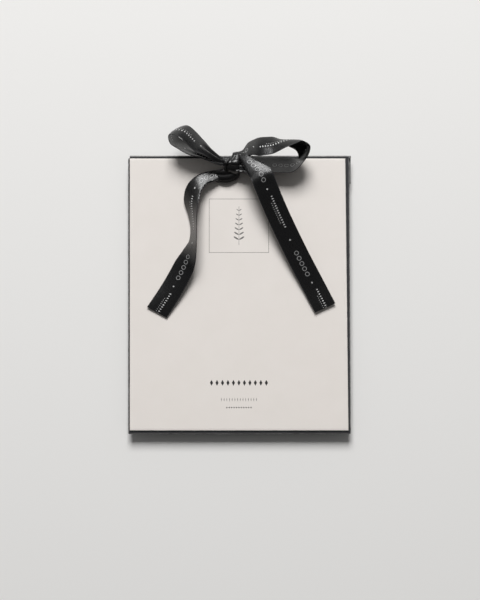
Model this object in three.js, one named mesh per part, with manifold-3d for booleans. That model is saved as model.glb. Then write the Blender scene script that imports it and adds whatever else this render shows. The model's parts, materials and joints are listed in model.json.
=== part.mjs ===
// Scented sachet: a flat paper bag with a printed card on its front, a filled pouch inside
// and a satin ribbon tied in a bow through a hole near the top edge.
// Millimetres. The sachet lies on its back: X to the right, Y to the top edge, Z out of the card.
import * as THREE from 'three';
import { mergeVertices } from 'three/addons/utils/BufferGeometryUtils.js';
import Module from 'manifold-3d';

const wasm = await Module();
wasm.setup();

// Clearances
const SHEET_GAP = 0.3;
const KNOT_GAP = 0.5;
const CUT_OVERRUN = 2;
const MERGE_DISTANCE = 1e-5;

// Black paper bag
const BAG_WIDTH = 120;
const BAG_HEIGHT = 150;
const BAG_DEPTH = 6.5;
const BAG_TOP_LEAN = 0.9;
const BAG_CORNER = 0.8;
const BAG_PAPER = 0.35;
const BAG_SLOT = 0.65;
const BAG_SEAM = 6;
const BAG_BULGE_RUN = 17;
const BULGE_CORNER = 12;

// Fold-over flap at the back of the top edge
const FLAP_LENGTH = 15;
const FLAP_SHIFT = 0.9;
const FLAP_TO_BULGE = 2;

// Printed front card, with the black border that it leaves along each edge of the bag
const CARD_THICKNESS = 0.4;
const CARD_TOP_LEAN = 1.7;
const CARD_LEFT_BORDER = 1;
const CARD_RIGHT_BORDER = 1.4;
const CARD_BOTTOM_BORDER = 2.1;
const CARD_TOP_BORDER = 1.6;

// Punched hole for the ribbon, through card, bag and flap
const HOLE_DIAMETER = 6;
const HOLE_FROM_TOP = 8.5;

// Inner pouch and its filling
const POUCH_SHEET = 0.25;
const POUCH_SEAL = 5;
const POUCH_SIDE_ROOM = 4;
const POUCH_END_ROOM = 3;

// Ribbon
const RIBBON_WIDTH = 12;
const RIBBON_THICKNESS = 0.4;
const THREAD_WIDTH = 4.6;
const THREAD_THICKNESS = 0.8;
const THREAD_SIDE = 3.4;

// Knot, with its centre's place on the bag's front
const KNOT_X = -6;
const KNOT_FROM_TOP = 3;
const KNOT_LENGTH = 14;
const KNOT_BREADTH = 8.2;
const KNOT_RISE = 7.4;
const TUCK_LENGTH = 15.4;
const TUCK_BREADTH = 12;
const TUCK_RISE = 6.6;
const TUCK_SIDE = -1.2;
const TUCK_DROP = 6.5;

// Loops and tails: how far each reaches from the knot's centre, and how far it stands off the card
const LEFT_LOOP_REACH = 29.4;
const LEFT_LOOP_CLIMB = 16;
const LEFT_LOOP_STAND = 12;
const RIGHT_LOOP_REACH = 42;
const RIGHT_LOOP_CLIMB = 10.5;
const RIGHT_LOOP_STAND = 12;
const LEFT_TAIL_REACH = 38.4;
const LEFT_TAIL_DROP = 81.4;
const LEFT_TAIL_STAND = 7;
const RIGHT_TAIL_REACH = 52;
const RIGHT_TAIL_DROP = 79;
const RIGHT_TAIL_STAND = 11.5;

// Levels and places that follow from the sizes
const marginDepth = 2 * BAG_PAPER + BAG_SLOT;
const foldRadius = (marginDepth + SHEET_GAP + BAG_PAPER) / 2;
const bagTop = BAG_HEIGHT / 2 - foldRadius - SHEET_GAP;
const bulgeTop = BAG_DEPTH - marginDepth;
const cardBack = BAG_DEPTH + SHEET_GAP;
const cardFace = cardBack + CARD_THICKNESS;
const holeY = BAG_HEIGHT / 2 - HOLE_FROM_TOP;
const knotY = BAG_HEIGHT / 2 - KNOT_FROM_TOP;
const threadLow = BAG_DEPTH - 2 * foldRadius - SHEET_GAP;

// Each row of a route: reach share, climb share, stand share, azimuth and tilt of the ribbon's
// width in degrees, share of the ribbon's full width
const LEFT_LOOP_SHARES = [
  [-0.156, 0.034, 0.44, -133, 54, 0.55],
  [-0.320, 0.173, 0.60, -133, 58, 0.8],
  [-0.532, 0.448, 0.80, -128, 47, 1],
  [-0.682, 0.718, 0.95, -132, 45, 1],
  [-0.798, 0.896, 1.03, -123, 47, 1],
  [-0.901, 0.927, 1.00, -125, 54, 1],
  [-0.987, 0.888, 0.87, -132, 63, 1],
  [-0.993, 0.745, 0.76, -147, 65, 1],
  [-0.943, 0.606, 0.64, -144, 58, 1],
  [-0.827, 0.453, 0.56, -144, 60, 1],
  [-0.658, 0.281, 0.53, -133, 61, 0.98],
  [-0.464, 0.145, 0.50, -127, 63, 0.85],
  [-0.299, 0.020, 0.47, -112, 62, 0.7],
  [-0.148, -0.076, 0.42, -111, 54, 0.55],
];
const RIGHT_LOOP_SHARES = [
  [0.112, 0.218, 0.30, -83, 37, 0.5],
  [0.184, 0.335, 0.36, -84, 48, 0.6],
  [0.270, 0.569, 0.49, -77, 45, 0.92],
  [0.402, 0.628, 0.90, -89, 30, 1],
  [0.551, 0.676, 1.05, -87, 35, 1],
  [0.705, 0.772, 1.06, -96, 55, 1],
  [0.841, 0.859, 0.99, -107, 70, 1],
  [0.933, 0.858, 0.92, -71, 83, 1],
  [0.948, 0.763, 0.85, -8, 70, 0.97],
  [0.930, 0.624, 0.78, -5, 52, 0.95],
  [0.937, 0.446, 0.69, -8, 56, 0.95],
  [0.939, 0.269, 0.61, -16, 70, 0.96],
  [0.927, 0.031, 0.53, -60, 74, 1],
  [0.799, -0.257, 0.47, -84, 45, 1],
  [0.601, -0.257, 0.43, -90, 44, 1],
  [0.381, -0.220, 0.33, -91, 38, 0.95],
  [0.190, -0.146, 0.36, -92, 42, 0.75],
  [0.100, -0.118, 0.38, -92, 42, 0.6],
];
const LEFT_TAIL_SHARES = [
  [-0.10, -0.09, 0.38, -104, 12, 0.5],
  [-0.20, -0.10, 0.48, -100, 24, 0.55],
  [-0.31, -0.116, 0.66, -82, 44, 0.72],
  [-0.41, -0.152, 0.82, -62, 46, 0.92],
  [-0.485, -0.205, 0.86, -38, 43, 1],
  [-0.515, -0.274, 0.88, -20, 48, 1],
  [-0.495, -0.357, 0.98, -11, 65, 1],
  [-0.478, -0.442, 1.02, -2, 73, 1],
  [-0.486, -0.526, 1.00, -6, 70, 1],
  [-0.53, -0.60, 0.86, -20, 52, 1],
  [-0.615, -0.698, 0.50, -26, 20, 1],
  [-0.78, -0.841, 0.26, -27, 11, 1],
  [-1.00, -1.00, 0.14, -28, 0, 1],
];
const RIGHT_TAIL_SHARES = [
  [0.19, 0.038, 0.90, -24, 14, 0.66],
  [0.235, 0.012, 0.97, -14, 12, 0.95],
  [0.305, -0.030, 1.02, 4, 7, 1],
  [0.35, -0.100, 1.04, 20, 2, 1],
  [0.398, -0.198, 0.97, 25, 0, 1],
  [0.515, -0.380, 0.72, 26, 0, 1],
  [0.71, -0.640, 0.38, 26, 0, 1],
  [0.88, -0.850, 0.18, 25, 0, 1],
  [1.00, -1.00, 0.13, 24.5, 0, 1],
];

// Closed solid from a geometry
function toSolid(geometry) {
  const plain = geometry.clone();
  for (const name of Object.keys(plain.attributes)) {
    if (name !== 'position') plain.deleteAttribute(name);
  }
  const merged = mergeVertices(plain, MERGE_DISTANCE);
  const vertProperties = Float32Array.from(merged.attributes.position.array);
  const triVerts = Uint32Array.from(merged.index.array);
  return new wasm.Manifold(new wasm.Mesh({ numProp: 3, vertProperties, triVerts }));
}

// Geometry from a solid
function toGeometry(solid) {
  const mesh = solid.getMesh();
  const geometry = new THREE.BufferGeometry();
  geometry.setAttribute('position', new THREE.BufferAttribute(Float32Array.from(mesh.vertProperties), 3));
  geometry.setIndex(new THREE.BufferAttribute(Uint32Array.from(mesh.triVerts), 1));
  geometry.computeVertexNormals();
  return geometry;
}

// Closed loft through rings that have the same number of points
function loft(rings) {
  const count = rings[0].length;
  const positions = [];
  const index = [];
  for (const ring of rings) {
    for (const point of ring) positions.push(point.x, point.y, point.z);
  }
  for (let row = 0; row + 1 < rings.length; row++) {
    for (let i = 0; i < count; i++) {
      const a = row * count + i;
      const b = row * count + (i + 1) % count;
      index.push(a, b, b + count, a, b + count, a + count);
    }
  }
  const last = (rings.length - 1) * count;
  for (let i = 1; i + 1 < count; i++) {
    index.push(0, i + 1, i, last, last + i, last + i + 1);
  }
  const geometry = new THREE.BufferGeometry();
  geometry.setAttribute('position', new THREE.Float32BufferAttribute(positions, 3));
  geometry.setIndex(index);
  return geometry;
}

// Level ring: a rectangle with round corners whose right side leans in towards the top
function levelRing({ left, right, bottom, top, lean, corner, z }) {
  const steps = 6;
  const spots = [
    [right - corner, bottom + corner, -90],
    [right - lean - corner, top - corner, 0],
    [left + corner, top - corner, 90],
    [left + corner, bottom + corner, 180],
  ];
  const ring = [];
  for (const [x, y, start] of spots) {
    for (let i = 0; i <= steps; i++) {
      const angle = THREE.MathUtils.degToRad(start + 90 * i / steps);
      ring.push(new THREE.Vector3(x + corner * Math.cos(angle), y + corner * Math.sin(angle), z));
    }
  }
  return ring;
}

// Cutter for the punched hole
function punch(bottom, top) {
  const cutter = new THREE.CylinderGeometry(HOLE_DIAMETER / 2, HOLE_DIAMETER / 2, top - bottom, 32);
  cutter.rotateX(Math.PI / 2);
  cutter.translate(KNOT_X, holeY, (top + bottom) / 2);
  return toSolid(cutter);
}

// Pillow-backed body: flat front, then a bulge that curves down to a flat back.
// inset is measured from the bag's edges and the top inset is its own size.
function pillow({ front, waist, back, side, end, topInset, run }) {
  const steps = 6;
  const rings = [];
  const common = { lean: BAG_TOP_LEAN };
  const edge = {
    left: -BAG_WIDTH / 2 + side,
    right: BAG_WIDTH / 2 - side,
    bottom: -BAG_HEIGHT / 2 + end,
    top: BAG_HEIGHT / 2 - topInset,
  };
  for (let i = steps; i >= 0; i--) {
    const share = i / steps;
    const inward = run * share;
    rings.push(levelRing({
      ...common,
      left: edge.left + inward,
      right: edge.right - inward,
      bottom: edge.bottom + inward,
      top: edge.top - inward,
      corner: BULGE_CORNER,
      z: back + (waist - back) * (1 - share) ** 2,
    }));
  }
  rings.push(levelRing({ ...common, ...edge, corner: BULGE_CORNER, z: front }));
  return toSolid(loft(rings));
}

// Bag: both walls with the flat seam round them, open in a slot at the top edge
function makeBag() {
  const outline = {
    left: -BAG_WIDTH / 2,
    right: BAG_WIDTH / 2,
    bottom: -BAG_HEIGHT / 2,
    top: bagTop,
    lean: BAG_TOP_LEAN,
    corner: BAG_CORNER,
  };
  const plate = toSolid(loft([
    levelRing({ ...outline, z: bulgeTop }),
    levelRing({ ...outline, z: BAG_DEPTH }),
  ]));
  const topInset = FLAP_LENGTH + FLAP_TO_BULGE;
  const bulge = pillow({
    front: BAG_DEPTH - BAG_PAPER,
    waist: bulgeTop,
    back: 0,
    side: BAG_SEAM,
    end: BAG_SEAM,
    topInset,
    run: BAG_BULGE_RUN,
  });
  const hollow = pillow({
    front: BAG_DEPTH - BAG_PAPER,
    waist: bulgeTop + BAG_PAPER,
    back: BAG_PAPER,
    side: BAG_SEAM + BAG_PAPER,
    end: BAG_SEAM + BAG_PAPER,
    topInset: topInset + BAG_PAPER,
    run: BAG_BULGE_RUN,
  });
  const slotWidth = BAG_WIDTH - 2 * BAG_SEAM - BAG_TOP_LEAN - 2 * BULGE_CORNER;
  const slotHeight = topInset + BULGE_CORNER + CUT_OVERRUN;
  const slot = new THREE.BoxGeometry(slotWidth, slotHeight, BAG_SLOT);
  slot.translate(-BAG_TOP_LEAN / 2, bagTop + CUT_OVERRUN - slotHeight / 2, BAG_DEPTH - BAG_PAPER - BAG_SLOT / 2);
  const whole = plate.add(bulge).subtract(hollow).subtract(toSolid(slot));
  return toGeometry(whole.subtract(punch(-CUT_OVERRUN, BAG_DEPTH + CUT_OVERRUN)));
}

// Flap: the bag's top end bent round the top edge and lying behind it
function makeFlap() {
  const inner = foldRadius - BAG_PAPER;
  const start = BAG_HEIGHT / 2 - foldRadius;
  const end = BAG_HEIGHT / 2 - FLAP_LENGTH;
  const middle = BAG_DEPTH - foldRadius;
  const profile = new THREE.Shape();
  profile.moveTo(start, middle + foldRadius);
  profile.absarc(start, middle, foldRadius, Math.PI / 2, -Math.PI / 2, true);
  profile.lineTo(end, middle - foldRadius);
  profile.lineTo(end, middle - inner);
  profile.lineTo(start, middle - inner);
  profile.absarc(start, middle, inner, -Math.PI / 2, Math.PI / 2, false);
  profile.closePath();
  const width = BAG_WIDTH - BAG_TOP_LEAN;
  const strip = new THREE.ExtrudeGeometry(profile, { depth: width, bevelEnabled: false, curveSegments: 10 });
  strip.applyMatrix4(new THREE.Matrix4().makeBasis(
    new THREE.Vector3(0, 1, 0),
    new THREE.Vector3(0, 0, 1),
    new THREE.Vector3(1, 0, 0),
  ));
  strip.translate(-BAG_WIDTH / 2 + FLAP_SHIFT, 0, 0);
  return toGeometry(toSolid(strip).subtract(punch(-CUT_OVERRUN, BAG_DEPTH + CUT_OVERRUN)));
}

// Card: one flat sheet with the same punched hole
function makeCard() {
  const outline = {
    left: -BAG_WIDTH / 2 + CARD_LEFT_BORDER,
    right: BAG_WIDTH / 2 - CARD_RIGHT_BORDER,
    bottom: -BAG_HEIGHT / 2 + CARD_BOTTOM_BORDER,
    top: BAG_HEIGHT / 2 - CARD_TOP_BORDER,
    lean: CARD_TOP_LEAN,
    corner: CARD_THICKNESS,
  };
  const sheet = toSolid(loft([
    levelRing({ ...outline, z: cardBack }),
    levelRing({ ...outline, z: cardFace }),
  ]));
  return toGeometry(sheet.subtract(punch(BAG_DEPTH - CUT_OVERRUN, cardFace + CUT_OVERRUN)));
}

// Pouch: a flat front sheet and a bulged back sheet, sealed along a rim, with the filling between
const pouchFront = BAG_DEPTH - BAG_PAPER - SHEET_GAP;
const pouchSeam = pouchFront - POUCH_SHEET - SHEET_GAP;
const pouchSide = BAG_SEAM + BAG_PAPER + POUCH_SIDE_ROOM;
const pouchEnd = BAG_SEAM + BAG_PAPER + POUCH_END_ROOM;
const pouchTop = FLAP_LENGTH + FLAP_TO_BULGE + BAG_PAPER + POUCH_END_ROOM;

// Outline of the pouch drawn in by an inset
function pouchRing(inset, z) {
  return levelRing({
    left: -BAG_WIDTH / 2 + pouchSide + inset,
    right: BAG_WIDTH / 2 - pouchSide - inset,
    bottom: -BAG_HEIGHT / 2 + pouchEnd + inset,
    top: BAG_HEIGHT / 2 - pouchTop - inset,
    lean: BAG_TOP_LEAN,
    corner: BULGE_CORNER,
    z,
  });
}

// One side of the pouch's bulge, from its waist down to its flat back
function bulgeRings(waist, back, inset) {
  const steps = 6;
  const rings = [];
  for (let i = steps; i >= 0; i--) {
    const share = i / steps;
    const run = BAG_BULGE_RUN - POUCH_SEAL;
    rings.push(pouchRing(inset + run * share, back + (waist - back) * (1 - share) ** 2));
  }
  return rings;
}

function makePouchFront() {
  return loft([pouchRing(0, pouchFront - POUCH_SHEET), pouchRing(0, pouchFront)]);
}

function makePouchBack() {
  const rim = toSolid(loft([pouchRing(0, pouchSeam - POUCH_SHEET), pouchRing(0, pouchSeam)]));
  const back = BAG_PAPER + SHEET_GAP;
  const outer = bulgeRings(pouchSeam - POUCH_SHEET, back, POUCH_SEAL);
  outer.push(pouchRing(POUCH_SEAL, pouchSeam));
  const inner = bulgeRings(pouchSeam, back + POUCH_SHEET, POUCH_SEAL + POUCH_SHEET);
  inner.push(pouchRing(POUCH_SEAL + POUCH_SHEET, pouchSeam + CUT_OVERRUN));
  return toGeometry(rim.add(toSolid(loft(outer))).subtract(toSolid(loft(inner))));
}

function makeFilling() {
  const inset = POUCH_SEAL + POUCH_SHEET + 2 * SHEET_GAP;
  const back = BAG_PAPER + SHEET_GAP + POUCH_SHEET + SHEET_GAP;
  return loft(bulgeRings(pouchSeam, back, inset));
}

// Ball stretched to three sizes, with a margin all round
function ellipsoid(length, breadth, rise, x, y, z, grow) {
  const ball = new THREE.SphereGeometry(1, 28, 18);
  ball.scale(length / 2 + grow, breadth / 2 + grow, rise / 2 + grow);
  ball.translate(x, y, z);
  return toSolid(ball);
}

// Knot: the wrap round the middle of the bow and the tucked turn below it
function knotSolid(grow) {
  const wrapZ = cardFace + SHEET_GAP + KNOT_RISE / 2;
  const tuckZ = cardFace + SHEET_GAP + TUCK_RISE / 2;
  const wrap = ellipsoid(KNOT_LENGTH, KNOT_BREADTH, KNOT_RISE, KNOT_X, knotY, wrapZ, grow);
  const tuck = ellipsoid(
    TUCK_LENGTH, TUCK_BREADTH, TUCK_RISE, KNOT_X + TUCK_SIDE, knotY - TUCK_DROP, tuckZ, grow,
  );
  return wrap.add(tuck);
}

// Ribbon strip through stations: a centre, the direction of its width and its width there
function strip(stations, thickness, count) {
  const centres = new THREE.CatmullRomCurve3(stations.map((station) => station.centre), false, 'centripetal');
  const widths = new THREE.CatmullRomCurve3(stations.map((station) => station.across), false, 'centripetal');
  const rings = [];
  for (let i = 0; i <= count; i++) {
    const u = i / count;
    const centre = centres.getPoint(u);
    const across = widths.getPoint(u);
    const tangent = centres.getTangent(u);
    const normal = tangent.clone().cross(across).normalize().multiplyScalar(thickness / 2);
    rings.push([
      centre.clone().sub(across).sub(normal),
      centre.clone().add(across).sub(normal),
      centre.clone().add(across).add(normal),
      centre.clone().sub(across).add(normal),
    ]);
  }
  return toSolid(loft(rings));
}

// One free stretch of ribbon from its table of shares
function ribbonStretch(shares, reach, climb, stand, count) {
  const stations = shares.map(([along, up, out, azimuth, tilt, width]) => {
    const turn = THREE.MathUtils.degToRad(azimuth);
    const lift = THREE.MathUtils.degToRad(tilt);
    const across = new THREE.Vector3(
      Math.cos(turn) * Math.cos(lift),
      Math.sin(turn) * Math.cos(lift),
      Math.sin(lift),
    );
    return {
      centre: new THREE.Vector3(KNOT_X + reach * along, knotY + climb * up, cardFace + stand * out),
      across: across.multiplyScalar(width * RIBBON_WIDTH / 2),
    };
  });
  return strip(stations, RIBBON_THICKNESS, count);
}

// Thread: the gathered ribbon from the knot over the top edge, down the back and out of the hole
function makeThread() {
  const low = threadLow - THREAD_THICKNESS / 2;
  const high = cardFace + SHEET_GAP + THREAD_THICKNESS / 2;
  const outside = BAG_HEIGHT / 2 + SHEET_GAP + THREAD_THICKNESS / 2;
  const round = foldRadius;
  const half = THREAD_WIDTH / 2;
  const edgeX = KNOT_X + THREAD_SIDE;
  const places = [
    [edgeX, knotY, high],
    [edgeX, outside - round, high],
    [edgeX, outside, high - round],
    [edgeX, outside, low + round],
    [edgeX, outside - round, low],
    [KNOT_X, holeY + round, low],
    [KNOT_X, holeY, low + round],
    [KNOT_X, holeY, high],
  ];
  const stations = places.map(([x, y, z]) => ({
    centre: new THREE.Vector3(x, y, z),
    across: new THREE.Vector3(half, 0, 0),
  }));
  return toGeometry(strip(stations, THREAD_THICKNESS, 40).subtract(knotSolid(KNOT_GAP)));
}

// Parts in place
const paper = { roughness: 0.8, metalness: 0 };
const satin = { color: 0x17171a, roughness: 0.35, metalness: 0 };

function part(name, geometry, look) {
  const mesh = new THREE.Mesh(geometry, new THREE.MeshStandardMaterial(look));
  mesh.name = name;
  return mesh;
}

const sachet = new THREE.Group();
sachet.add(part('bag_body', makeBag(), { ...paper, color: 0x2b2b2d }));
sachet.add(part('bag_flap', makeFlap(), { ...paper, color: 0x303033 }));
sachet.add(part('front_card', makeCard(), { ...paper, color: 0xe2dedb }));
sachet.add(part('pouch_front', makePouchFront(), { ...paper, color: 0xf0eee9 }));
sachet.add(part('pouch_back', makePouchBack(), { ...paper, color: 0xf0eee9 }));
sachet.add(part('scent_filling', makeFilling(), { color: 0xb59a6a, roughness: 0.95, metalness: 0 }));

const grownKnot = knotSolid(KNOT_GAP);
const stretches = [
  ['bow_left_loop', LEFT_LOOP_SHARES, LEFT_LOOP_REACH, LEFT_LOOP_CLIMB, LEFT_LOOP_STAND, 56],
  ['bow_right_loop', RIGHT_LOOP_SHARES, RIGHT_LOOP_REACH, RIGHT_LOOP_CLIMB, RIGHT_LOOP_STAND, 64],
  ['bow_left_tail', LEFT_TAIL_SHARES, LEFT_TAIL_REACH, LEFT_TAIL_DROP, LEFT_TAIL_STAND, 56],
  ['bow_right_tail', RIGHT_TAIL_SHARES, RIGHT_TAIL_REACH, RIGHT_TAIL_DROP, RIGHT_TAIL_STAND, 40],
];
sachet.add(part('ribbon_thread', makeThread(), satin));
sachet.add(part('bow_knot', toGeometry(knotSolid(0)), satin));
for (const [name, shares, reach, climb, stand, count] of stretches) {
  const cut = ribbonStretch(shares, reach, climb, stand, count).subtract(grownKnot);
  sachet.add(part(name, toGeometry(cut), satin));
}

export default sachet;
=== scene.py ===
# %% [markdown]
# # A scented sachet with a satin bow
# The real object is a flat paper bag with a stiff card on its front and a pouch of scented
# granules inside. One length of satin ribbon passes through a hole near the top edge and is
# tied in a bow on the card. This lesson dresses the packed model of it in real materials.

# %% Load the frame
import json
import math

import bmesh
import bpy
from mathutils import Matrix, Vector, noise

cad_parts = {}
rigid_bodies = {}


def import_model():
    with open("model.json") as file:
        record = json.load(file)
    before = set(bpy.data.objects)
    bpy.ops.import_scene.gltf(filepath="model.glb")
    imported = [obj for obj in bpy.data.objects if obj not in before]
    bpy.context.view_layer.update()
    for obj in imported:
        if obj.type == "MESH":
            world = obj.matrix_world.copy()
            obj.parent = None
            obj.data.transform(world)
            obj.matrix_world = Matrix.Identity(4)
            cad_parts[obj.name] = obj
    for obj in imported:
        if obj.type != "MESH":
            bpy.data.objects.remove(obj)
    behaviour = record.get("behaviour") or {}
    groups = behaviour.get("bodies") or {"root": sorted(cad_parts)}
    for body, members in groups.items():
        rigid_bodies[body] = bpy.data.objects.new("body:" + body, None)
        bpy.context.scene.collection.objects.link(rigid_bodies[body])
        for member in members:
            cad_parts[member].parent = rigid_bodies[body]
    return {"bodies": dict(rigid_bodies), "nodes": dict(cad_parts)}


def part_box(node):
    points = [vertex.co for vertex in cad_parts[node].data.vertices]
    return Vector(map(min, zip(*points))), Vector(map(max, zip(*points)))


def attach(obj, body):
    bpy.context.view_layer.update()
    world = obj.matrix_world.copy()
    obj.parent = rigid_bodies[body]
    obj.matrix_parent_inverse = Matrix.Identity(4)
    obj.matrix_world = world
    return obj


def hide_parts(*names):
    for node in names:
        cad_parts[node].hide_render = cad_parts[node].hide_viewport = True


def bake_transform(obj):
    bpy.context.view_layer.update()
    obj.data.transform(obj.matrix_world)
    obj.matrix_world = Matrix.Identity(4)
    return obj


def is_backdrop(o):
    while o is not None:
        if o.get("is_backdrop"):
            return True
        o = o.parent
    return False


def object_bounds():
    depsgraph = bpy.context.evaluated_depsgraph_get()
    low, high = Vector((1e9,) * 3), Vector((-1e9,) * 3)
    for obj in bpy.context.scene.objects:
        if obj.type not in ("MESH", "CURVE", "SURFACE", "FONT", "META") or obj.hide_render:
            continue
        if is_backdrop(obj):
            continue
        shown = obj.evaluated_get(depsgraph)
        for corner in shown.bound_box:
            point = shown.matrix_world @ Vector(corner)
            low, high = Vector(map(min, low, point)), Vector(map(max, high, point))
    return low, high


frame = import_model()
cad_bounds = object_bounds()
print("bodies:", sorted(frame["bodies"]))
print("nodes:", sorted(frame["nodes"]))

# %% Places and sizes
MM = 0.001
bag_low, bag_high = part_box("bag_body")
flap_low, flap_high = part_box("bag_flap")
card_low, card_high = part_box("front_card")
sheet_low, sheet_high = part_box("pouch_front")
pouch_low, pouch_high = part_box("pouch_back")
grain_low, grain_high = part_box("scent_filling")
CARD_FACE = card_high.z
KNOT = Vector((-6 * MM, 72 * MM, 11.2 * MM))
HOLE = Vector((-6 * MM, 66.5 * MM, 0))
HOLE_RADIUS = 3 * MM
RIBBON_WIDTH = 12 * MM
RIBBON_THICKNESS = 0.28 * MM
BAG_LEAN = 0.9 * MM
print("card face at", round(CARD_FACE / MM, 2), "mm, bag", [round(x / MM, 1) for x in bag_high - bag_low])

# %% [markdown]
# ## Camera
# The sachet is seen straight from above. An orthographic camera would do for the flat bag, but
# the bow is nearer and looks larger. So this is a perspective camera 700 mm above the card, and
# the longer side of its frame spans 322.8 mm of the card's plane.

# %% Camera
VIEW_DISTANCE = 700 * MM
VIEW_SPAN = 322.8 * MM
VIEW_CENTRE = (0.27 * MM, -2.74 * MM)
SENSOR_WIDTH = 36
camera_data = bpy.data.cameras.new("studio_camera")
camera_data.sensor_width = SENSOR_WIDTH
camera_data.lens = SENSOR_WIDTH * VIEW_DISTANCE / VIEW_SPAN
camera = bpy.data.objects.new("studio_camera", camera_data)
camera.location = (*VIEW_CENTRE, CARD_FACE + VIEW_DISTANCE)
bpy.context.scene.collection.objects.link(camera)
bpy.context.scene.camera = camera
print("lens", round(camera_data.lens, 2), "mm")

# %% [markdown]
# ## Lamp
# Black satin is drawn by what it mirrors. A small lamp would leave hard glints, so one large
# soft lamp stands towards the top of the picture, a little to the left. It gives the bright
# bands where the ribbon turns up to it, and the soft shadows below the bow.

# %% Lamp
LAMP_PLACE = Vector((-0.12, 1.70, 1.60))
LAMP_TARGET = Vector((0, 0.02, 0))
LAMP_SIDE = 0.96
LAMP_POWER = 65
lamp_data = bpy.data.lights.new("key_softbox", "AREA")
lamp_data.shape = "SQUARE"
lamp_data.size = LAMP_SIDE
lamp_data.energy = LAMP_POWER
lamp = bpy.data.objects.new("key_softbox", lamp_data)
lamp.location = LAMP_PLACE
lamp.rotation_euler = (LAMP_TARGET - LAMP_PLACE).to_track_quat("-Z", "Y").to_euler()
bpy.context.scene.collection.objects.link(lamp)
print("lamp", round((LAMP_TARGET - LAMP_PLACE).length, 2), "m away and", LAMP_SIDE, "m wide")

# %% [markdown]
# ## Shader maths in plain expressions
# A material is a tree of nodes, which reads badly as a list of links. The class below wraps a
# socket, so that `1 - mask` or `abs(x) < 2` adds the Math nodes itself. Every other node comes
# from one method, which takes its type, its settings and the values or links of its sockets.

# %% Socket maths
def operator(operation, reflected=False):
    """A method that adds one Math node. Reflected, the other value comes first."""
    if reflected:
        return lambda self, other: self.maths(operation, other, self)
    return lambda self, other: self.maths(operation, self, other)


class Socket:
    """An output of a node. Expressions on it add Math nodes to its tree."""

    def __init__(self, finish, node, output):
        self.finish = finish
        self.node = node
        self.output = output

    def __getitem__(self, name):
        return Socket(self.finish, self.node, self.node.outputs[name])

    def maths(self, operation, *values):
        return self.finish.node("ShaderNodeMath", {"operation": operation}, dict(enumerate(values)))

    __add__ = operator("ADD")
    __radd__ = operator("ADD", True)
    __sub__ = operator("SUBTRACT")
    __rsub__ = operator("SUBTRACT", True)
    __mul__ = operator("MULTIPLY")
    __rmul__ = operator("MULTIPLY", True)
    __truediv__ = operator("DIVIDE")
    __rtruediv__ = operator("DIVIDE", True)
    __pow__ = operator("POWER")
    __lt__ = operator("LESS_THAN")
    __gt__ = operator("GREATER_THAN")
    repeat = operator("FLOORED_MODULO")
    most = operator("MAXIMUM")
    least = operator("MINIMUM")

    def __abs__(self):
        return self.maths("ABSOLUTE", self)

    def wave(self, period):
        return self.maths("SINE", self * (2 * math.pi / period))


print("sockets can also:", [name for name in vars(Socket) if "__" not in name])

# %% Node maker
class Finish:
    """A node tree with its output, for a material or the world."""

    def __init__(self, owner, output_kind):
        owner.use_nodes = True
        self.tree = owner.node_tree
        self.tree.nodes.clear()
        self.owner = owner
        self.end = self.tree.nodes.new(output_kind)

    def node(self, kind, settings=None, sockets=None, output=0):
        made = self.tree.nodes.new(kind)
        for name, value in (settings or {}).items():
            setattr(made, name, value)
        for name, value in (sockets or {}).items():
            if isinstance(value, Socket):
                self.tree.links.new(value.output, made.inputs[name])
            else:
                made.inputs[name].default_value = value
        return Socket(self, made, made.outputs[output])

    def mix(self, factor, first, second):
        return self.node("ShaderNodeMix", {"data_type": "RGBA"}, {0: factor, 6: first, 7: second}, 2)

    def between(self, value, low, high, start, end):
        places = {"Value": value, "From Min": low, "From Max": high, "To Min": start, "To Max": end}
        return self.node("ShaderNodeMapRange", {"clamp": True}, places)

    def split(self, place):
        return self.node("ShaderNodeSeparateXYZ", {}, {"Vector": place})

    def specks(self, place, scale, detail=2.0, rough=0.5):
        sockets = {"Vector": place, "Scale": scale, "Detail": detail, "Roughness": rough}
        return self.node("ShaderNodeTexNoise", {}, sockets)

    def bump(self, height, distance, strength):
        sockets = {"Height": height, "Distance": distance, "Strength": strength}
        return self.node("ShaderNodeBump", {}, sockets)

    def surface(self, colour, rough, grain=None, shine=0.5):
        sockets = {"Base Color": colour, "Roughness": rough, "Specular IOR Level": shine}
        if grain is not None:
            sockets["Normal"] = grain
        return self.node("ShaderNodeBsdfPrincipled", {}, sockets)

    def close(self, shader):
        self.tree.links.new(shader.output, self.end.inputs["Surface"])
        return self.owner


def new_finish(name):
    return Finish(bpy.data.materials.new(name), "ShaderNodeOutputMaterial")


def srgb(red, green, blue):
    """A colour as a picture shows it, 0 to 255, as the linear colour that a shader takes."""
    values = [c / 255 for c in (red, green, blue)]
    linear = [c / 12.92 if c <= 0.04045 else ((c + 0.055) / 1.055) ** 2.4 for c in values]
    return (*linear, 1)


print("mid grey as a shader takes it:", round(srgb(128, 128, 128)[0], 3))

# %% [markdown]
# ## Sky
# The world fills what the lamp leaves. A picture of a real room could light it, but a plain sky
# needs no file. It is dim overhead, so that satin that lies flat stays black, and brighter all
# round, most of all behind the top edge. The camera itself sees one pale tone.

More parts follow.
